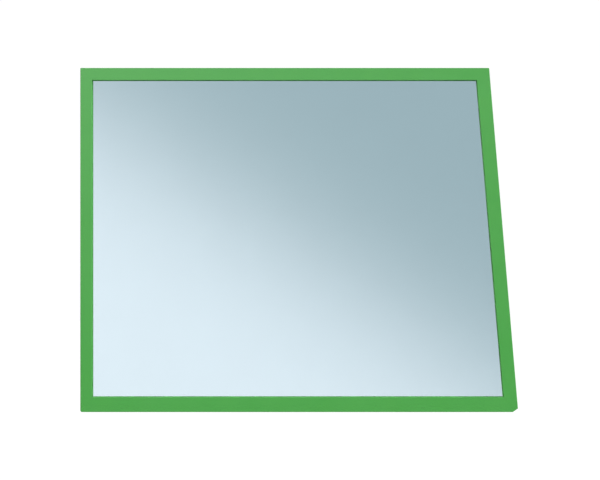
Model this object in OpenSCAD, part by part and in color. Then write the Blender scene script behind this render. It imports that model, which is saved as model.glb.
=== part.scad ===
// Framed wall mirror with a slanted right side: a lacquered four-piece mitred
// frame holds a silvered pane in a rebate, with tape, spacers, a filler sheet and
// a backboard behind it, turn buttons over the backboard and two keyhole
// hanger plates on the stiles.
//
// Axes: X to the right as the mirror is seen on the wall, Y from the room into
// the wall, Z up. The origin is midway between the two keyhole entries, on the
// rear surface of the hanger plates.

/* [Outline] */
// Width along the bottom edge
frame_w = 700; // [560:5:900]
// Height of the frame
frame_h = 550; // [460:5:700]
// How far the right side leans in at the top
slant = 46.5; // [0:0.5:60]
// Length of the cut at the bottom right corner, along the bottom edge
cut_x = 8.8; // [4:0.2:10]
// Height of the cut at the bottom right corner
cut_z = 5.6; // [4:0.2:8]
// Corner radius at the bottom left
corner_r = 3; // [1.5:0.1:4]
// Corner radius at the two top corners
top_corner_r = 1.4; // [1.3:0.1:3]

/* [Frame members] */
// Face width of the top rail
top_face = 19.7; // [18:0.1:26]
// Face width of the bottom rail
bottom_face = 24.1; // [20:0.1:30]
// Face width of the left stile
left_face = 19.1; // [18:0.1:26]
// Face width of the right stile
right_face = 21.5; // [20.4:0.1:28]
// Thickness of the frame, front to back
frame_t = 16; // [16:0.5:22]
// Thickness of the lip in front of the glass
lip_t = 4.5; // [4:0.1:7]
// Width of the rebate behind the lip
rebate_w = 5; // [4.5:0.1:5.2]
// Radius of the eased front edges
arris_r = 0.7; // [0.7:0.1:1.2]
// Radius of the eased rear outer edges
back_arris_r = 0.6; // [0.3:0.1:0.8]

/* [Pane and backing] */
// Thickness of the mirror glass
glass_t = 3; // [3:0.5:4]
// Gap between the glass and the rebate wall, filled by spacers
glass_gap = 1.5; // [1:0.1:2]
// Ground edge of the glass
glass_arris = 0.5; // [0.3:0.1:0.8]
// Thickness of the silver and its paint
silver_t = 0.1; // [0.1:0.05:0.2]
// Thickness of the safety film
film_t = 0.2; // [0.2:0.05:0.3]
// Thickness of the glazing tape
tape_t = 0.5; // [0.4:0.1:0.8]
// Width of the glazing tape
tape_w = 3; // [2:0.1:3.2]
// Thickness of the hardboard back
board_t = 3; // [2.5:0.1:3.2]
// Gap between the hardboard and the rebate wall
board_gap = 0.75; // [0.5:0.05:1]

/* [Turn buttons] */
// Distance from the rebate edge to the pivot screw
pivot_in = 6; // [5.6:0.1:6.4]
// Length from the pivot to the far end
button_l = 14; // [13:0.2:15]
// Width of the arm
button_w = 6.4; // [5:0.1:7]
// Thickness of the steel
button_t = 1; // [0.8:0.1:1.2]

/* [Hanging] */
// Height of the keyhole entries below the top edge
hang_drop = 130; // [110:1:140]
// Radius of the round entry of the keyhole
entry_r = 3.75; // [3.5:0.05:4]
// Width of the narrow slot of the keyhole
slot_w = 4; // [3.6:0.1:4.4]
// Distance from the entry to the seat at the end of the slot
slot_rise = 7.5; // [6.5:0.1:8.5]
// Width of a hanger plate
plate_w = 11; // [10.6:0.1:11.4]
// Thickness of a hanger plate
plate_t = 1.5; // [1.5:0.1:2]
// How far the hanger plates sit outwards from the middle of the stiles' backs
plate_out = 0.42; // [0:0.02:0.5]
// Thickness of the wall bumpers
bumper_t = 3; // [3:0.1:4]

/* [Hidden] */
$fn = 48;

green = [0.32, 0.66, 0.32];
zinc = [0.72, 0.73, 0.75];

// Depths along Y, from the front face to the wall
y_back = -plate_t;               // rear face of the frame
y_front = y_back - frame_t;      // front face of the frame
y_lip = y_front + lip_t;         // rear face of the lip
y_glass = y_lip + tape_t;        // front of the glass
y_silver = y_glass + glass_t;    // rear of the glass
y_film = y_silver + silver_t;
y_sheet = y_film + film_t;
y_board = y_back - board_t;      // the backboard's rear is flush with the frame
y_wall = y_back + bumper_t;      // the wall touches the bumpers here
play = 0.05;                     // running play above and below a turn button
nip = 0.01;                      // crease where an eased edge meets a face
hair = 0.004;                    // keeps two cut faces from lying in one another

// The slanted side: length of its edge per unit of height, and its lean
lean_k = sqrt(frame_h * frame_h + slant * slant) / frame_h;
lean = atan(slant / frame_h);

// Points in the outline are [across from the left edge, up from the bottom edge]
// A point at height w, a distance d inside the slanted right edge
function right_at(w, d) = frame_w - slant * w / frame_h - d * lean_k;
// The outline moved in by the distances b, r, t and l on its four sides
function inset(b, r, t, l) = [
  [l, b], [right_at(b, r), b], [right_at(frame_h - t, r), frame_h - t], [l, frame_h - t]
];
// The sight opening moved outwards by d
function sight(d) = inset(bottom_face - d, right_face - d, top_face - d, left_face - d);
function dist(p, q) = norm(q - p);
function angle_of(p, q) = atan2(q[1] - p[1], q[0] - p[0]);

outer = inset(0, 0, 0, 0);
inner = sight(0);
rebate = sight(rebate_w);

// Where the line through p and q crosses the line through r and s
function crossing(p, q, r, s) = let (
  a = q - p, b = s - r, t = ((r[0] - p[0]) * b[1] - (r[1] - p[1]) * b[0]) / (a[0] * b[1] - a[1] * b[0])
) p + t * a;

// Ends of the cut at the bottom right corner, and where the mitre meets it
cut_a = [frame_w - cut_x, 0];
cut_b = [right_at(cut_z, 0), cut_z];
cut_m = crossing(cut_a, cut_b, outer[1], inner[1]);

// The keyhole entries: across, at height hang_up; the origin is midway
hang_up = frame_h - hang_drop;
hole_left = (left_face - rebate_w) / 2 - plate_out;
hole_right = right_at(hang_up, (right_face - rebate_w) / 2 - plate_out);
origin_u = (hole_left + hole_right) / 2;

// Turn buttons: [across, up, direction it points in]
pivot_top = frame_h - top_face + rebate_w + pivot_in;
pivot_bottom = bottom_face - rebate_w - pivot_in;
pivot_left = left_face - rebate_w - pivot_in;
pivot_right = right_face - rebate_w - pivot_in;
side_lo = frame_h * 0.2;
side_hi = frame_h * 0.55;
b_top_left = [frame_w * 0.24, pivot_top, -90];
b_top_right = [(frame_w - slant) * 0.76, pivot_top, -90];
b_bottom_left = [frame_w * 0.25, pivot_bottom, 90];
b_bottom_right = [frame_w * 0.75, pivot_bottom, 90];
b_left_lower = [pivot_left, side_lo, 0];
b_left_upper = [pivot_left, side_hi, 0];
b_right_lower = [right_at(side_lo, pivot_right), side_lo, 180 + lean];
b_right_upper = [right_at(side_hi, pivot_right), side_hi, 180 + lean];
BUTTONS = [
  b_top_left, b_top_right, b_right_upper, b_right_lower,
  b_bottom_right, b_bottom_left, b_left_lower, b_left_upper
];
button_screw_r = 1.5;
plate_screw_r = 1.5;
PLATE_SCREWS = [-12, 17];        // heights of the plate screws above the entry
pocket_r = 4.6;
pocket_d = 6.5;

// ---------- placing ----------

// Moves outline coordinates into the part's own frame
module place() translate([-origin_u, 0, -hang_up]) children();

// A flat outline in the plane of the mirror, from depth y0 back to depth y1
module slab(points, y0, y1)
  translate([0, y1, 0]) rotate([90, 0, 0]) linear_extrude(height = y1 - y0) polygon(points);

// Children drawn flat in the plane of the mirror, from depth y0 back to y1
module flat(y0, y1)
  translate([0, y1, 0]) rotate([90, 0, 0]) linear_extrude(height = y1 - y0) children();

// A section swept along the line from p to q and a little past both ends.
// In the section, x is the depth and y the distance to the left of the line.
module along(p, q, past = 30)
  translate([p[0], 0, p[1]]) rotate([0, -angle_of(p, q), 0]) translate([-past, 0, 0])
    rotate([90, 0, 90]) linear_extrude(height = dist(p, q) + 2 * past) children();

// Sections that ease an edge: front outer, rear outer, front inner. The arc's
// centre lies nip less than its radius from both faces, so that it meets them
// at a slight crease, as a sanded edge does.
module ease_front(r) difference() {
  translate([y_front - 1, -1]) square(1 + r - nip);
  translate([y_front + r - nip, r - nip]) circle(r);
}
module ease_back(r) difference() {
  translate([y_back - r + nip, -1]) square(1 + r - nip);
  translate([y_back - r + nip, r - nip]) circle(r);
}
module ease_inner(face, r) difference() {
  translate([y_front - 1, face - r + nip]) square(1 + r - nip);
  translate([y_front + r - nip, face - r + nip]) circle(r);
}

// ---------- the frame ----------

// Rounds corner k of the outline: takes off the wedge outside an upright
// cylinder of radius r, and eases the cylinder's front and rear edges. These
// round cuts lie a hair outside the straight ones, so that they cross them.
module round_corner(k, r) {
  a0 = angle_of(outer[(k + 3) % 4], outer[k]) - 90;  // outward across the edge before
  a1 = angle_of(outer[k], outer[(k + 1) % 4]) - 90;  // outward across the edge after
  n0 = [cos(a0), sin(a0)];
  n1 = [cos(a1), sin(a1)];
  c = outer[k] - (r - nip) * (n0 + n1) / (1 + n0 * n1);
  flat(y_front - 2, y_back + 2) translate(c) difference() {
    polygon([[0, 0], (r + 1) * n0, (r + 1.5) * (n0 + n1), (r + 1) * n1]);
    circle(r);
  }
  translate([c[0], 0, c[1]]) rotate([90, 0, 0]) rotate([0, 0, a0])
    rotate_extrude(angle = (a1 - a0 + 360) % 360) {
      difference() {
        translate([r - arris_r + hair, -y_front - arris_r + nip]) square([2 + arris_r, 1 + arris_r]);
        translate([r - arris_r + hair, -y_front - arris_r + nip]) circle(arris_r);
      }
      difference() {
        translate([r - back_arris_r + hair, -y_back - 1]) square([2 + back_arris_r, 1 + back_arris_r - nip]);
        translate([r - back_arris_r + hair, -y_back + back_arris_r - nip]) circle(back_arris_r);
      }
    }
}

// Eases the front and rear outer edges along the line from p to q
module ease_outer(p, q) {
  along(p, q) ease_front(arris_r);
  along(p, q) ease_back(back_arris_r);
}

// A V-nail seen from the back, its point at the origin towards +x
module v_shape(grow) {
  for (s = [-1, 1])
    rotate(s * 45) translate([-5, -0.3 - grow]) square([5 + 0.3 + grow, 0.6 + 2 * grow]);
}
// The two V-nails at the corner between outer point o and inner point i
module v_nails_at(o, i, grow, depth)
  for (back = [9.5, 16.5])
    flat(y_back - depth, y_back + grow)
      translate(i - back * (i - o) / dist(o, i)) rotate(angle_of(o, i)) translate([0, 0.15])
        v_shape(grow);

// Blind pocket behind a keyhole, for the head of the wall screw
module pocket(u) flat(y_back - pocket_d, y_back + 1) translate([u, hang_up]) {
  circle(pocket_r);
  translate([0, slot_rise]) circle(pocket_r);
  translate([-pocket_r, 0]) square([2 * pocket_r, slot_rise]);
}

module hole(u, w, r, y0, y1)
  translate([u, y1, w]) rotate([90, 0, 0]) cylinder(r = r, h = y1 - y0);

// Everything that is cut into the back of the frame
module back_cuts() {
  slab(rebate, y_lip, y_back + 1);
  for (k = [0 : 3]) v_nails_at(outer[k], inner[k], 0.02, 10.02);
  for (b = BUTTONS) hole(b[0], b[1], button_screw_r + 0.02, y_back - 11.5, y_back + 1);
  for (u = [hole_left, hole_right]) {
    pocket(u);
    for (s = PLATE_SCREWS) hole(u, hang_up + s, plate_screw_r + 0.02, y_back - 11.5, y_back + 1);
  }
}

// The member from outer corner i to outer corner j, its outline mitred at both
// ends; the children are taken off its corners
module member(i, j, face, outline) color(green) place() difference() {
  slab(outline, y_front, y_back);
  ease_outer(outer[i], outer[j]);
  along(outer[i], outer[j]) ease_inner(face, arris_r);
  back_cuts();
  children();
}

module bottom_rail()
  member(0, 1, bottom_face, [outer[0], cut_a, cut_m, inner[1], inner[0]]) {
    round_corner(0, corner_r);
    ease_outer(cut_a, cut_b);
  }
module right_stile()
  member(1, 2, right_face, [cut_m, cut_b, outer[2], inner[2], inner[1]]) {
    ease_outer(cut_a, cut_b);
    round_corner(2, top_corner_r);
  }
module top_rail()
  member(2, 3, top_face, [outer[2], outer[3], inner[3], inner[2]]) {
    round_corner(2, top_corner_r);
    round_corner(3, top_corner_r);
  }
module left_stile()
  member(3, 0, left_face, [outer[3], outer[0], inner[0], inner[3]]) {
    round_corner(3, top_corner_r);
    round_corner(0, corner_r);
  }

module corner_v_nails() color(zinc) place()
  for (k = [0 : 3]) v_nails_at(outer[k], inner[k], 0, 10);

// ---------- the pane and its backing ----------

// Sections of the ground edges taken off the glass, front and rear
module ground_front(d) polygon([[y_glass - 1, -1], [y_glass + d + 1, -1], [y_glass - 1, d + 1]]);
module ground_back(d) polygon([[y_silver + 1, -1], [y_silver + 1, d + 1], [y_silver - d - 1, -1]]);

glass = sight(rebate_w - glass_gap);

// The two side edges are ground a hair deeper than the top and bottom ones, so
// that no corner has four faces meeting in one point
module mirror_glass() color([0.72, 0.86, 0.9, 0.45]) place() difference() {
  slab(glass, y_glass, y_silver);
  for (k = [0 : 3]) {
    along(glass[k], glass[(k + 1) % 4], 5) ground_front(glass_arris + 2 * hair * (k % 2));
    along(glass[k], glass[(k + 1) % 4], 5) ground_back(glass_arris + 2 * hair * (k % 2));
  }
}

coated = sight(rebate_w - glass_gap - glass_arris - 0.1);

module silver_coating() color([0.76, 0.84, 0.88]) place() slab(coated, y_silver, y_film);

module safety_film() color([0.45, 0.48, 0.5]) place() slab(coated, y_film, y_sheet);

board = sight(rebate_w - board_gap);

module cardboard_sheet() color([0.72, 0.57, 0.4]) place() slab(sight(rebate_w - 1.5), y_sheet, y_board);

module backboard() color([0.5, 0.36, 0.22]) place() slab(board, y_board, y_back);

// Tape on the rear face of the lip: long strips on the rails, short ones between
tape_out = sight(1 + tape_w);
tape_in = sight(1);
tape_lo = inner[0][1] - 1;
tape_hi = inner[2][1] + 1;

module strip(points) color([0.2, 0.21, 0.21]) place() slab(points, y_lip, y_glass);

module glazing_tape_bottom() strip([
  tape_out[0], tape_out[1],
  [right_at(tape_lo, right_face - 1 - tape_w), tape_lo], [tape_out[0][0], tape_lo]
]);
module glazing_tape_top() strip([
  tape_out[3], tape_out[2],
  [right_at(tape_hi, right_face - 1 - tape_w), tape_hi], [tape_out[3][0], tape_hi]
]);
module glazing_tape_left() strip([
  [tape_out[0][0], tape_lo], [tape_in[0][0], tape_lo],
  [tape_in[0][0], tape_hi], [tape_out[0][0], tape_hi]
]);
module glazing_tape_right() strip([
  [right_at(tape_lo, right_face - 1), tape_lo],
  [right_at(tape_lo, right_face - 1 - tape_w), tape_lo],
  [right_at(tape_hi, right_face - 1 - tape_w), tape_hi],
  [right_at(tape_hi, right_face - 1), tape_hi]
]);

// Blocks between the glass and the rebate wall. The line from p runs along the
// rebate wall with the glass on its left.
module block_at(p, a, l)
  translate([p[0], y_glass + 0.2, p[1]]) rotate([0, -a, 0])
    translate([-l / 2, 0, 0]) cube([l, glass_t - 0.4, glass_gap]);

module setting_blocks() color([0.16, 0.16, 0.17]) place()
  for (u = [frame_w * 0.25, frame_w * 0.75]) block_at([u, rebate[0][1]], 0, 30);

module edge_spacers() color([0.85, 0.85, 0.83]) place() {
  for (w = [frame_h * 0.27, frame_h * 0.73]) {
    block_at([rebate[0][0], w], -90, 18);
    block_at([right_at(w, right_face - rebate_w), w], 90 + lean, 18);
  }
  for (u = [frame_w * 0.23, (frame_w - slant) * 0.77]) block_at([u, rebate[2][1]], 180, 18);
}

// ---------- turn buttons ----------

// A turn button in place: flat steel, an eye round the screw and a lifted tip
module turn_button(b) color(zinc) place()
  translate([b[0], y_back + play, b[1]]) rotate([0, -b[2], 0]) difference() {
    union() {
      rotate([-90, 0, 0]) cylinder(r = 4.2, h = button_t);
      translate([0, 0, -button_w / 2]) cube([button_l - 3, button_t, button_w]);
      translate([button_l - 3, 0, 0]) rotate([0, 0, 20]) {
        translate([-0.2, 0, -button_w / 2]) cube([0.6, button_t, button_w]);
        rotate([-90, 0, 0]) intersection() {
          cylinder(r = button_w / 2, h = button_t);
          translate([0, -button_w, -1]) cube([button_w, 2 * button_w, button_t + 2]);
        }
      }
    }
    translate([0, -1, 0]) rotate([-90, 0, 0]) cylinder(r = button_screw_r + 0.08, h = button_t + 2);
    translate([0, -2, -10]) cube([button_l + 6, 2, 20]);
  }

module turn_button_top_left() turn_button(b_top_left);
module turn_button_top_right() turn_button(b_top_right);
module turn_button_right_upper() turn_button(b_right_upper);
module turn_button_right_lower() turn_button(b_right_lower);
module turn_button_bottom_right() turn_button(b_bottom_right);
module turn_button_bottom_left() turn_button(b_bottom_left);
module turn_button_left_lower() turn_button(b_left_lower);
module turn_button_left_upper() turn_button(b_left_upper);

// Cross recess of a screw, its mouth at the origin and its floor towards -y
module recess(size, depth) {
  for (a = [0, 90]) rotate([0, a, 0])
    translate([-size / 2, -depth, -0.35]) cube([size, depth + 2, 0.7]);
}

// Pan-head wood screw: the underside of the head at the origin, its shank
// towards -y
module pan_screw(r, l) difference() {
  union() {
    rotate([-90, 0, 0]) intersection() {
      cylinder(r = 2.8, h = 1.7);
      translate([0, 0, -2.2]) sphere(3.9);
    }
    rotate([90, 0, 0]) cylinder(r = r, h = l - 2.5);
    translate([0, -(l - 2.5), 0]) rotate([90, 0, 0]) cylinder(r1 = r, r2 = 0.2, h = 2.5);
  }
  translate([0, 1.7, 0]) rotate([0, 45, 0]) recess(3, 1.1);
}

module turn_button_screws() color(zinc) place()
  for (b = BUTTONS)
    translate([b[0], y_back + 2 * play + button_t, b[1]]) rotate([0, 17 * b[0], 0])
      pan_screw(button_screw_r, 12);

// ---------- hanging ----------

// A hanger plate, its keyhole entry at height hang_up and u across
module hanger_plate(u) color(zinc) place() difference() {
  flat(y_back, 0) translate([u, hang_up]) difference() {
    union() {
      for (x = [-1, 1], w = [-15.5, 20.5]) translate([x * (plate_w / 2 - 2), w]) circle(2);
      translate([-plate_w / 2, -15.5]) square([plate_w, 36]);
      translate([-plate_w / 2 + 2, -17.5]) square([plate_w - 4, 40]);
    }
    circle(entry_r);
    translate([0, slot_rise]) circle(slot_w / 2);
    translate([-slot_w / 2, 0]) square([slot_w, slot_rise]);
  }
  for (s = PLATE_SCREWS) translate([u, 0.01, hang_up + s]) rotate([90, 0, 0])
    cylinder(r1 = 3.05, r2 = 3.05 - 1.5 * (plate_t + 0.02) / plate_t, h = plate_t + 0.02);
}

module hanger_plate_left() hanger_plate(hole_left);
module hanger_plate_right() hanger_plate(hole_right);

// Countersunk wood screw, its head flush with the plate's rear at the origin
module flat_screw(r, l) difference() {
  union() {
    rotate([90, 0, 0]) cylinder(r1 = r + 1.5, r2 = r, h = plate_t);
    rotate([90, 0, 0]) cylinder(r = r, h = l - 2.5);
    translate([0, -(l - 2.5), 0]) rotate([90, 0, 0]) cylinder(r1 = r, r2 = 0.2, h = 2.5);
  }
  recess(3, 1.1);
}

module hanger_screws() color(zinc) place()
  for (u = [hole_left, hole_right], s = PLATE_SCREWS)
    translate([u, 0, hang_up + s]) rotate([0, 31 * s + u, 0]) flat_screw(plate_screw_r, 12.5);

// ---------- wall bumpers ----------

// Soft round pad on the back of the frame
module bumper(u, w) color([0.75, 0.76, 0.76]) place()
  translate([u, y_back, w]) rotate([-90, 0, 0]) rotate_extrude() union() {
    square([5, bumper_t - 1]);
    square([4, bumper_t]);
    translate([4, bumper_t - 1]) circle(1);
  }

module bumper_top_left() bumper(40, frame_h - 7.1);
module bumper_top_right() bumper(frame_w - slant - 40, frame_h - 7.1);
module bumper_bottom_left() bumper(40, 9);
module bumper_bottom_right() bumper(frame_w - 40, 9);

top_rail();
bottom_rail();
left_stile();
right_stile();
corner_v_nails();
mirror_glass();
silver_coating();
safety_film();
cardboard_sheet();
backboard();
glazing_tape_top();
glazing_tape_bottom();
glazing_tape_left();
glazing_tape_right();
setting_blocks();
edge_spacers();
turn_button_top_left();
turn_button_top_right();
turn_button_right_upper();
turn_button_right_lower();
turn_button_bottom_right();
turn_button_bottom_left();
turn_button_left_lower();
turn_button_left_upper();
turn_button_screws();
hanger_plate_left();
hanger_plate_right();
hanger_screws();
bumper_top_left();
bumper_top_right();
bumper_bottom_left();
bumper_bottom_right();
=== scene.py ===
"""The finish of a framed wall mirror with one slanted side: lacquered frame, silvered
glass, hardboard back, zinc-plated hardware, and the studio it is seen in."""

import math

import bpy
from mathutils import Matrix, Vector

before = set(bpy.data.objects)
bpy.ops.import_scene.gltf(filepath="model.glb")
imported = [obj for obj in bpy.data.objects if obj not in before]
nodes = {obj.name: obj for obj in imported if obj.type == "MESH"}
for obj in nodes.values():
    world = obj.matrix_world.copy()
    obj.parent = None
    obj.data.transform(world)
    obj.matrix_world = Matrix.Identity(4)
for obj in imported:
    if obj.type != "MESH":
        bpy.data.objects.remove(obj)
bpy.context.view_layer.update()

# ---------------------------------------------------------------- camera
# Square to the mirror, level with a point a little left of its middle, 2.5 m
# in front of the frame's face
VIEW_X, VIEW_Z = 0.0195, -0.145
FACE_Y = -0.0175
cam_data = bpy.data.cameras.new("camera")
cam_data.sensor_width = 36.0
cam_data.lens = 93.75
cam_data.clip_start, cam_data.clip_end = 0.05, 100.0
camera = bpy.data.objects.new("camera", cam_data)
bpy.context.scene.collection.objects.link(camera)
camera.location = (VIEW_X, FACE_Y - 2.4967, VIEW_Z)
camera.rotation_euler = (math.pi / 2, 0, 0)
bpy.context.scene.camera = camera


# ---------------------------------------------------------------- node helpers
class Graph:
    """Short calls for building a node tree."""

    def __init__(self, tree):
        self.tree = tree
        tree.nodes.clear()

    def node(self, kind, **values):
        n = self.tree.nodes.new(kind)
        for k, v in values.items():
            setattr(n, k, v)
        return n

    def link(self, a, b):
        self.tree.links.new(a, b)

    def put(self, socket, value):
        if isinstance(value, bpy.types.NodeSocket):
            self.link(value, socket)
        else:
            socket.default_value = value

    def math(self, op, a, b=None, c=None, clamp=False):
        n = self.node("ShaderNodeMath", operation=op, use_clamp=clamp)
        for i, v in enumerate((a, b, c)):
            if v is not None:
                self.put(n.inputs[i], v)
        return n.outputs[0]

    def noise(self, vector, scale, detail=2.0, rough=0.5, distortion=0.0):
        n = self.node("ShaderNodeTexNoise")
        self.link(vector, n.inputs["Vector"])
        n.inputs["Scale"].default_value = scale
        n.inputs["Detail"].default_value = detail
        n.inputs["Roughness"].default_value = rough
        n.inputs["Distortion"].default_value = distortion
        return n.outputs["Fac"]

    def remap(self, value, a, b, lo=0.0, hi=1.0, smooth=False):
        n = self.node("ShaderNodeMapRange", interpolation_type="SMOOTHSTEP" if smooth else "LINEAR")
        self.put(n.inputs["Value"], value)
        for name, v in (("From Min", a), ("From Max", b), ("To Min", lo), ("To Max", hi)):
            n.inputs[name].default_value = v
        return n.outputs["Result"]

    def mix(self, factor, a, b, blend="MIX"):
        n = self.node("ShaderNodeMix", data_type="RGBA", blend_type=blend)
        self.put(n.inputs[0], factor)
        self.put(n.inputs[6], a)
        self.put(n.inputs[7], b)
        return n.outputs[2]

    def scaled(self, vector, x, y, z, turn=(0.0, 0.0, 0.0)):
        n = self.node("ShaderNodeMapping")
        self.link(vector, n.inputs["Vector"])
        n.inputs["Rotation"].default_value = turn
        n.inputs["Scale"].default_value = (x, y, z)
        return n.outputs["Vector"]

    def bump(self, height, strength, distance, normal=None):
        n = self.node("ShaderNodeBump")
        n.inputs["Strength"].default_value = strength
        n.inputs["Distance"].default_value = distance
        self.link(height, n.inputs["Height"])
        if normal is not None:
            self.link(normal, n.inputs["Normal"])
        return n.outputs["Normal"]


def rgb(r, g, b):
    return (r, g, b, 1.0)


def material(name):
    """A material with a Principled shader: (material, graph, shader, object coordinates)."""
    m = bpy.data.materials.new(name)
    m.use_nodes = True
    g = Graph(m.node_tree)
    out = g.node("ShaderNodeOutputMaterial")
    shader = g.node("ShaderNodeBsdfPrincipled")
    g.link(shader.outputs[0], out.inputs["Surface"])
    co = g.node("ShaderNodeTexCoord").outputs["Object"]
    return m, g, shader, co


def give(m, *names):
    for n in names:
        o = nodes[n]
        o.data.materials.clear()
        o.data.materials.append(m)


# ---------------------------------------------------------------- lacquered frame
def lacquer():
    m, g, s, co = material("frame_lacquer")
    geo = g.node("ShaderNodeNewGeometry")
    normal = g.node("ShaderNodeSeparateXYZ")
    g.link(geo.outputs["Normal"], normal.inputs[0])
    ny = normal.outputs["Y"]

    # Broad unevenness of the sprayed coat, and a fine speckle in it
    broad = g.noise(co, 7.0, 3.0, 0.5)
    drift = g.noise(g.scaled(co, 14.0, 14.0, 14.0), 3.0, 2.0, 0.55, 0.4)
    speck = g.noise(co, 1500.0, 2.0, 0.6)
    col = g.mix(g.remap(broad, 0.35, 0.65), rgb(*GREEN_A), rgb(*GREEN_B))
    col = g.mix(g.remap(drift, 0.4, 0.7, 0.0, 0.35), col, rgb(*GREEN_C))
    col = g.mix(g.remap(speck, 0.3, 0.7, 0.0, 0.10), col, rgb(*GREEN_D))

    # The coat is thin and a little rubbed where it runs over the eased edges
    ny2 = g.math("MULTIPLY", ny, ny)
    arris = g.math("MULTIPLY", g.math("MULTIPLY", ny2, g.math("SUBTRACT", 1.0, ny2)), 4.0)
    rub = g.remap(g.noise(co, 55.0, 5.0, 0.62, 0.3), 0.50, 0.74, 0.0, 1.0, True)
    rubbed = g.math("MULTIPLY", arris, rub)
    col = g.mix(g.math("MULTIPLY", rubbed, 0.55), col, rgb(*GREEN_RUB))

    # A hairline where the coat bridges the mitre between two members
    at = g.node("ShaderNodeSeparateXYZ")
    g.link(co, at.inputs[0])
    seam = None
    for (ox, oz), (ix, iz) in MITRES:
        length = math.hypot(ix - ox, iz - oz)
        dx, dz = (ix - ox) / length, (iz - oz) / length
        x = g.math("SUBTRACT", at.outputs["X"], ox)
        z = g.math("SUBTRACT", at.outputs["Z"], oz)
        off = g.math("ABSOLUTE", g.math("SUBTRACT", g.math("MULTIPLY", x, dz), g.math("MULTIPLY", z, dx)))
        far = g.math("ADD", g.math("MULTIPLY", x, dx), g.math("MULTIPLY", z, dz))
        line = g.math("MULTIPLY", g.remap(off, 0.00006, 0.00020, 1.0, 0.0, True), g.math("LESS_THAN", far, 0.05))
        seam = line if seam is None else g.math("MAXIMUM", seam, line)
    seam = g.math("MULTIPLY", seam, g.remap(g.noise(co, 260.0, 2.0, 0.5), 0.35, 0.60, 0.35, 1.0))
    col = g.mix(g.math("MULTIPLY", seam, 0.45), col, rgb(*GREEN_DEEP))

    # Painted shade: the outward-facing outer edges are darkened, patchily, to stand in for the shade on the frame's
    # rim
    place = g.node("ShaderNodeVectorMath", operation="SUBTRACT")
    g.link(co, place.inputs[0])
    place.inputs[1].default_value = (0.018, 0.0, -0.145)
    outward = g.node("ShaderNodeVectorMath", operation="DOT_PRODUCT")
    g.link(geo.outputs["Normal"], outward.inputs[0])
    g.link(g.scaled(place.outputs["Vector"], 1.0, 0.0, 1.0), outward.inputs[1])
    edge = g.remap(outward.outputs["Value"], 0.12, 0.24, 0.0, 1.0, True)
    edge_shade_patchiness = g.remap(g.noise(co, 150.0, 3.0, 0.55), 0.3, 0.7, 0.55, 1.0)
    col = g.mix(g.math("MULTIPLY", g.math("MULTIPLY", edge, edge_shade_patchiness), 0.42), col, rgb(*GREEN_EDGE_SHADE))

    # The back is sprayed once, so the board's fine grain shows through there
    behind = g.remap(ny, 0.75, 0.97, 0.0, 1.0, True)
    grain = g.noise(g.scaled(co, 1.0, 1.0, 1.0), 420.0, 4.0, 0.65)
    col = g.mix(g.math("MULTIPLY", behind, g.remap(grain, 0.35, 0.75, 0.12, 0.55)), col, rgb(*GREEN_THIN))
    g.link(col, s.inputs["Base Color"])

    patches = g.noise(co, 38.0, 3.0, 0.5)
    rough = g.remap(patches, 0.3, 0.7, 0.42, 0.52)
    rough = g.math("ADD", rough, g.math("MULTIPLY", behind, 0.16))
    rough = g.math("ADD", rough, g.math("MULTIPLY", rubbed, 0.10))
    # Cut edges drink more of the coat than the faces, so they dry duller
    rough = g.math("ADD", rough, g.remap(g.math("ABSOLUTE", ny), 0.25, 0.80, 0.34, 0.0, True), clamp=True)
    g.link(rough, s.inputs["Roughness"])
    s.inputs["IOR"].default_value = 1.47
    s.inputs["Specular IOR Level"].default_value = 0.45

    # Orange peel, then the hairline of the mitre seams
    peel = g.noise(co, 520.0, 2.0, 0.45)
    n1 = g.bump(peel, 0.16, 0.00025)
    g.link(g.bump(g.math("SUBTRACT", 1.0, seam), 0.25, 0.00008, n1), s.inputs["Normal"])
    return m


GREEN_A = (0.049, 0.338, 0.047)
GREEN_B = (0.055, 0.351, 0.053)
GREEN_C = (0.059, 0.357, 0.048)
GREEN_D = (0.075, 0.380, 0.075)
GREEN_RUB = (0.135, 0.43, 0.13)
GREEN_DEEP = (0.020, 0.170, 0.022)
# The four mitres, each from the outer corner of the frame to the inner one, in (x, z)
MITRES = (
    ((-0.33163, -0.42000), (-0.31253, -0.39590)),
    ((0.36837, -0.42000), (0.34476, -0.39590)),
    ((0.32187, 0.13000), (0.30196, 0.11030)),
    ((-0.33163, 0.13000), (-0.31253, 0.11030)),
)
GREEN_THIN = (0.10, 0.31, 0.085)
# Colour of the painted shade on the outer edges
GREEN_EDGE_SHADE = (0.026, 0.200, 0.026)


# ---------------------------------------------------------------- glass and silver
def float_glass():
    m, g, s, co = material("float_glass")
    out = next(n for n in m.node_tree.nodes if n.type == "OUTPUT_MATERIAL")
    s.inputs["Base Color"].default_value = rgb(0.975, 0.992, 0.985)
    s.inputs["Roughness"].default_value = 0.0
    s.inputs["IOR"].default_value = 1.52
    s.inputs["Transmission Weight"].default_value = 1.0
    # The faint draw lines of rolled glass, far too shallow to bend a line by eye
    lines = g.noise(g.scaled(co, 1.0, 1.0, 9.0), 4.0, 1.0, 0.4)
    g.link(g.bump(lines, 0.02, 0.00005), s.inputs["Normal"])
    # Lamps and stray light pass straight through to the frame beside the glass
    path = g.node("ShaderNodeLightPath")
    through = g.math("MAXIMUM", path.outputs["Is Shadow Ray"], g.math("GREATER_THAN", path.outputs["Diffuse Depth"], 0.5))
    clear = g.node("ShaderNodeBsdfTransparent")
    both = g.node("ShaderNodeMixShader")
    g.link(through, both.inputs[0])
    g.link(s.outputs[0], both.inputs[1])
    g.link(clear.outputs[0], both.inputs[2])
    g.link(both.outputs[0], out.inputs["Surface"])
    return m


def silver():
    m, g, s, co = material("silvering")
    cloud = g.noise(co, 12.0, 2.0, 0.5)
    g.link(g.mix(g.remap(cloud, 0.3, 0.7), rgb(0.925, 0.94, 0.94), rgb(0.935, 0.95, 0.95)), s.inputs["Base Color"])
    s.inputs["Metallic"].default_value = 1.0
    s.inputs["Roughness"].default_value = 0.0
    return m


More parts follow.
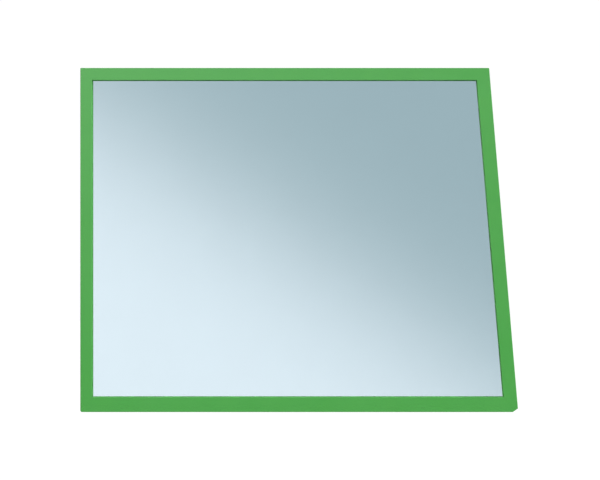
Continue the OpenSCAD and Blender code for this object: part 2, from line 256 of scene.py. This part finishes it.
def safety_film():
    m, g, s, co = material("safety_film")
    weave = g.node("ShaderNodeTexWave", wave_type="BANDS", bands_direction="DIAGONAL")
    g.link(co, weave.inputs["Vector"])
    weave.inputs["Scale"].default_value = 160.0
    weave.inputs["Distortion"].default_value = 0.4
    g.link(g.mix(weave.outputs["Fac"], rgb(0.36, 0.38, 0.40), rgb(0.44, 0.46, 0.48)), s.inputs["Base Color"])
    s.inputs["Roughness"].default_value = 0.42
    g.link(g.bump(weave.outputs["Fac"], 0.3, 0.0001), s.inputs["Normal"])
    return m


# ---------------------------------------------------------------- back
def hardboard():
    """Brown hardboard: felted wood fibre pressed flat, its smooth side out."""
    m, g, s, co = material("hardboard")

    def strands(turn, along, across):
        turned = g.scaled(co, 1.0, 1.0, 1.0, (0.0, turn, 0.0))
        return g.noise(g.scaled(turned, along, 400.0, across), 1.0, 3.0, 0.6, 0.9)

    a, b, c = strands(0.35, 170.0, 1250.0), strands(1.40, 190.0, 1450.0), strands(-0.70, 150.0, 1100.0)
    wide = g.noise(co, 16.0, 3.0, 0.5)
    small = g.noise(co, 85.0, 4.0, 0.62)
    specks = g.noise(g.scaled(co, 520.0, 520.0, 640.0), 1.0, 2.0, 0.5)
    chips = g.noise(g.scaled(co, 300.0, 300.0, 210.0, (0.0, 0.9, 0.0)), 1.0, 2.0, 0.55, 0.6)
    col = g.mix(g.remap(wide, 0.35, 0.65), rgb(0.205, 0.103, 0.046), rgb(0.228, 0.118, 0.053))
    col = g.mix(g.remap(small, 0.35, 0.68, 0.0, 0.55), col, rgb(0.262, 0.142, 0.067))
    col = g.mix(g.remap(a, 0.50, 0.70, 0.0, 0.60), col, rgb(0.335, 0.192, 0.096))
    col = g.mix(g.remap(b, 0.52, 0.72, 0.0, 0.60), col, rgb(0.125, 0.058, 0.025))
    col = g.mix(g.remap(c, 0.54, 0.72, 0.0, 0.45), col, rgb(0.290, 0.160, 0.078))
    col = g.mix(g.remap(chips, 0.64, 0.72, 0.0, 0.55), col, rgb(0.375, 0.225, 0.118))
    col = g.mix(g.remap(specks, 0.66, 0.73, 0.0, 0.75), col, rgb(0.060, 0.028, 0.013))
    g.link(col, s.inputs["Base Color"])
    g.link(g.remap(small, 0.3, 0.7, 0.46, 0.62), s.inputs["Roughness"])
    g.link(g.bump(g.math("ADD", g.math("ADD", a, b), c), 0.30, 0.00015), s.inputs["Normal"])
    return m


def kraft():
    m, g, s, co = material("kraft_board")
    fibres = g.noise(g.scaled(co, 300.0, 300.0, 1200.0), 1.0, 3.0, 0.6)
    flute = g.node("ShaderNodeTexWave", wave_type="BANDS", bands_direction="X")
    g.link(co, flute.inputs["Vector"])
    flute.inputs["Scale"].default_value = 45.0
    col = g.mix(g.remap(fibres, 0.35, 0.7), rgb(0.42, 0.28, 0.155), rgb(0.52, 0.36, 0.21))
    g.link(g.mix(g.math("MULTIPLY", flute.outputs["Fac"], 0.25), col, rgb(0.36, 0.235, 0.125)), s.inputs["Base Color"])
    s.inputs["Roughness"].default_value = 0.85
    g.link(g.bump(flute.outputs["Fac"], 0.3, 0.0003), s.inputs["Normal"])
    return m


def rubber(name, dark, light, rough, scale):
    m, g, s, co = material(name)
    fine = g.noise(co, scale, 4.0, 0.6)
    wide = g.noise(co, 60.0, 2.0, 0.5)
    col = g.mix(g.remap(fine, 0.3, 0.7), rgb(*dark), rgb(*light))
    g.link(g.mix(g.remap(wide, 0.4, 0.7, 0.0, 0.3), col, rgb(*light)), s.inputs["Base Color"])
    g.link(g.remap(fine, 0.3, 0.7, rough - 0.07, rough + 0.07), s.inputs["Roughness"])
    g.link(g.bump(fine, 0.35, 0.0001), s.inputs["Normal"])
    return m


# ---------------------------------------------------------------- hardware
def zinc():
    """Zinc-plated steel: bright grey with a faint cloudy bloom and rolling lines."""
    m, g, s, co = material("zinc_steel")
    bloom = g.noise(co, 130.0, 4.0, 0.62, 0.5)
    lines = g.noise(g.scaled(co, 2600.0, 900.0, 160.0), 1.0, 2.0, 0.6)
    pits = g.noise(co, 1700.0, 2.0, 0.5)
    col = g.mix(g.remap(bloom, 0.3, 0.7), rgb(0.50, 0.51, 0.53), rgb(0.63, 0.64, 0.655))
    col = g.mix(g.remap(bloom, 0.62, 0.82, 0.0, 0.35), col, rgb(0.60, 0.58, 0.50))
    col = g.mix(g.remap(pits, 0.66, 0.78, 0.0, 0.5), col, rgb(0.30, 0.31, 0.33))
    g.link(col, s.inputs["Base Color"])
    s.inputs["Metallic"].default_value = 1.0
    rough = g.remap(bloom, 0.3, 0.7, 0.27, 0.42)
    g.link(g.math("ADD", rough, g.remap(lines, 0.3, 0.7, -0.04, 0.06), clamp=True), s.inputs["Roughness"])
    g.link(g.bump(lines, 0.12, 0.00005), s.inputs["Normal"])
    return m


FRAME_NODES = ("top_rail", "bottom_rail", "left_stile", "right_stile")
BUTTONS = tuple(n for n in nodes if n.startswith("turn_button_") and n != "turn_button_screws")
PLATES = ("hanger_plate_left", "hanger_plate_right")
TAPES = tuple(n for n in nodes if n.startswith("glazing_tape_"))
BUMPERS = tuple(n for n in nodes if n.startswith("bumper_"))

give(lacquer(), *FRAME_NODES)
give(float_glass(), "mirror_glass")
give(silver(), "silver_coating")
give(safety_film(), "safety_film")
give(hardboard(), "backboard")
give(kraft(), "cardboard_sheet")
give(zinc(), "corner_v_nails", "turn_button_screws", "hanger_screws", *BUTTONS, *PLATES)
give(rubber("glazing_tape", (0.028, 0.030, 0.030), (0.042, 0.044, 0.044), 0.72, 900.0), *TAPES)
give(rubber("dark_rubber", (0.018, 0.018, 0.020), (0.032, 0.032, 0.035), 0.6, 700.0), "setting_blocks")
give(rubber("pale_plastic", (0.60, 0.60, 0.56), (0.70, 0.70, 0.67), 0.45, 500.0), "edge_spacers")
give(rubber("bumper_rubber", (0.23, 0.24, 0.245), (0.32, 0.33, 0.335), 0.58, 1100.0), *BUMPERS)

# The pane stands a hundredth of a millimetre clear of what touches it, so that no two
# faces fill the same plane
clear = nodes["mirror_glass"].modifiers.new("clear", "DISPLACE")
clear.direction = "NORMAL"
clear.mid_level = 0.0
clear.strength = -0.00001

# Stamped and turned edges are never razor sharp
for n in (*BUTTONS, *PLATES, "turn_button_screws", "hanger_screws"):
    b = nodes[n].modifiers.new("edge", "BEVEL")
    b.width = 0.00012
    b.segments = 2
    b.limit_method = "ANGLE"
    b.angle_limit = math.radians(40)
    b.harden_normals = False

# ---------------------------------------------------------------- studio
# Pale floor well below the mirror, bright by its own glow rather than by the lamps. The glow is dimmer under the
# mirror, a painted soft shadow, and paler with distance, up to plain white.
FLOOR_Z = -1.0
mesh = bpy.data.meshes.new("studio_floor")
R = 14.0
rings, spokes = 24, 64
verts = [(0, 0, FLOOR_Z)]
for i in range(1, rings + 1):
    r = R * (i / rings) ** 1.6
    verts += [(r * math.cos(2 * math.pi * k / spokes), r * math.sin(2 * math.pi * k / spokes), FLOOR_Z) for k in range(spokes)]
faces = [(0, 1 + k, 1 + (k + 1) % spokes) for k in range(spokes)]
for i in range(rings - 1):
    a, b = 1 + i * spokes, 1 + (i + 1) * spokes
    faces += [(a + k, b + k, b + (k + 1) % spokes, a + (k + 1) % spokes) for k in range(spokes)]
mesh.from_pydata(verts, [], faces)
floor = bpy.data.objects.new("studio_floor", mesh)
bpy.context.scene.collection.objects.link(floor)
floor.visible_diffuse = False
floor.visible_glossy = False
floor.visible_transmission = False

fm = bpy.data.materials.new("studio_floor")
fm.use_nodes = True
g = Graph(fm.node_tree)
out = g.node("ShaderNodeOutputMaterial")
fs = g.node("ShaderNodeBsdfPrincipled")
g.link(fs.outputs[0], out.inputs["Surface"])
co = g.node("ShaderNodeTexCoord").outputs["Object"]
length = g.node("ShaderNodeVectorMath", operation="LENGTH")
g.link(g.scaled(co, 1.0, 1.0, 0.0), length.inputs[0])
far = g.remap(length.outputs["Value"], 0.4, 2.6, 0.0, 1.0, True)
fs.inputs["Base Color"].default_value = rgb(0.06, 0.06, 0.06)
fs.inputs["Roughness"].default_value = 0.9
fs.inputs["Specular IOR Level"].default_value = 0.0
fs.inputs["Emission Color"].default_value = rgb(1, 1, 1)
# Painted shadow: the floor's glow is dimmest near the middle, under the mirror
g.link(g.remap(far, 0.0, 1.0, 0.84, 0.985), fs.inputs["Emission Strength"])
mesh.materials.append(fm)


def area(name, where, at, size, watts, colour=(1, 1, 1)):
    data = bpy.data.lights.new(name, "AREA")
    data.shape = "RECTANGLE"
    data.size, data.size_y = size
    data.energy = watts
    data.color = colour
    o = bpy.data.objects.new(name, data)
    bpy.context.scene.collection.objects.link(o)
    o.location = where
    o.rotation_mode = "QUATERNION"
    o.rotation_quaternion = (Vector(where) - Vector(at)).to_track_quat("Z", "Y")
    return o


centre = Vector((VIEW_X, 0.0, VIEW_Z))
key = area("key_light", (2.6, -4.2, 2.3), centre, (1.6, 1.6), 14.0)
key.visible_glossy = False
# A little more light in the upper middle than at the lower right
fill = area("front_fill", (-0.1, -1.7, 0.4), centre, (1.0, 1.0), 2.5)
fill.visible_glossy = False
fill.visible_transmission = False
# A soft box high in front, there for the sheen alone
sheen = area("sheen_light", (-1.15, -2.3, 1.6), centre, (2.0, 0.9), 98.0)
sheen.visible_diffuse = False
sheen.visible_transmission = False
back = area("back_fill", (1.6, 2.8, 1.6), centre, (1.4, 1.4), 62.0)
back2 = area("back_fill_left", (-2.2, 2.4, 0.4), centre, (1.2, 1.2), 30.0)

LOBE_RIGHT, LOBE_LEFT, LOBE_BACK = 8.2, 0.86, 0.8
AIR_LOW, AIR_HIGH = 0.05, 0.57

# What the mirror looks at: a pale sweep low on its left, a darker room high on its
# right, with a soft edge between them, and a greyer floor far below. For everything
# else the room is dim.
world = bpy.data.worlds.new("studio")
bpy.context.scene.world = world
world.use_nodes = True
g = Graph(world.node_tree)
way = g.node("ShaderNodeSeparateXYZ")
g.link(g.node("ShaderNodeTexCoord").outputs["Generated"], way.inputs[0])
SLOPE_X, SLOPE_Z, OFFSET = 19.5, 30.0, 0.355
ROOM_PALE = (0.850, 0.950, 1.050)
ROOM_DARK = (0.345, 0.470, 0.530)
ROOM_LOW = (0.400, 0.500, 0.560)
t = g.math("MULTIPLY_ADD", way.outputs["X"], SLOPE_X, OFFSET)
t = g.math("MULTIPLY_ADD", way.outputs["Z"], SLOPE_Z, t)
pale = g.math("DIVIDE", 1.0, g.math("ADD", 1.0, g.math("EXPONENT", g.math("MINIMUM", t, 30.0))))
room = g.node("ShaderNodeBackground")
low = g.math("MULTIPLY_ADD", way.outputs["X"], -0.35, g.math("MULTIPLY", way.outputs["Z"], -1.0))
seen_room = g.mix(pale, rgb(*ROOM_DARK), rgb(*ROOM_PALE))
seen_room = g.mix(g.remap(low, 0.32, 0.86, 0.0, 1.0, True), seen_room, rgb(*ROOM_LOW))
g.link(seen_room, room.inputs["Color"])
# The dim room is lit by two wide soft sources high in front, the right one stronger,
# and one behind for the back
air = g.node("ShaderNodeBackground")
air.inputs["Color"].default_value = rgb(1, 1, 1)


def lobe(x, y, z, tight, strength):
    length = math.sqrt(x * x + y * y + z * z)
    t = g.math("MULTIPLY", way.outputs["X"], x / length)
    t = g.math("MULTIPLY_ADD", way.outputs["Y"], y / length, t)
    t = g.math("MULTIPLY_ADD", way.outputs["Z"], z / length, t)
    return g.math("MULTIPLY", g.math("POWER", g.math("MAXIMUM", t, 0.0), tight), strength)


glow = g.math("ADD", lobe(0.74, -0.56, 0.38, 16.0, LOBE_RIGHT), lobe(-0.34, -0.88, 0.25, 9.0, LOBE_LEFT))
glow = g.math("ADD", glow, lobe(0.25, 0.80, 0.50, 3.0, LOBE_BACK))
side = g.math("MULTIPLY_ADD", way.outputs["X"], 0.85, g.math("MULTIPLY", way.outputs["Z"], 0.50))
glow = g.math("ADD", glow, g.remap(side, -0.8, 0.8, AIR_LOW, AIR_HIGH))
g.link(glow, air.inputs["Strength"])
white = g.node("ShaderNodeBackground")
white.inputs["Color"].default_value = rgb(1, 1, 1)
white.inputs["Strength"].default_value = 1.02
path = g.node("ShaderNodeLightPath")
direct = g.math("LESS_THAN", path.outputs["Diffuse Depth"], 0.5)
seen = g.math("MULTIPLY", direct, g.math("GREATER_THAN", path.outputs["Transmission Depth"], 0.5))
m1 = g.node("ShaderNodeMixShader")
g.link(seen, m1.inputs[0])
g.link(air.outputs[0], m1.inputs[1])
g.link(room.outputs[0], m1.inputs[2])
m2 = g.node("ShaderNodeMixShader")
g.link(path.outputs["Is Camera Ray"], m2.inputs[0])
g.link(m1.outputs[0], m2.inputs[1])
g.link(white.outputs[0], m2.inputs[2])
wout = g.node("ShaderNodeOutputWorld")
g.link(m2.outputs[0], wout.inputs["Surface"])

scene = bpy.context.scene
scene.view_settings.view_transform = "Standard"
scene.view_settings.look = "None"
scene.view_settings.exposure = 0.0
scene.view_settings.gamma = 1.0

# ---------------------------------------------------------------- update
bpy.context.view_layer.update()
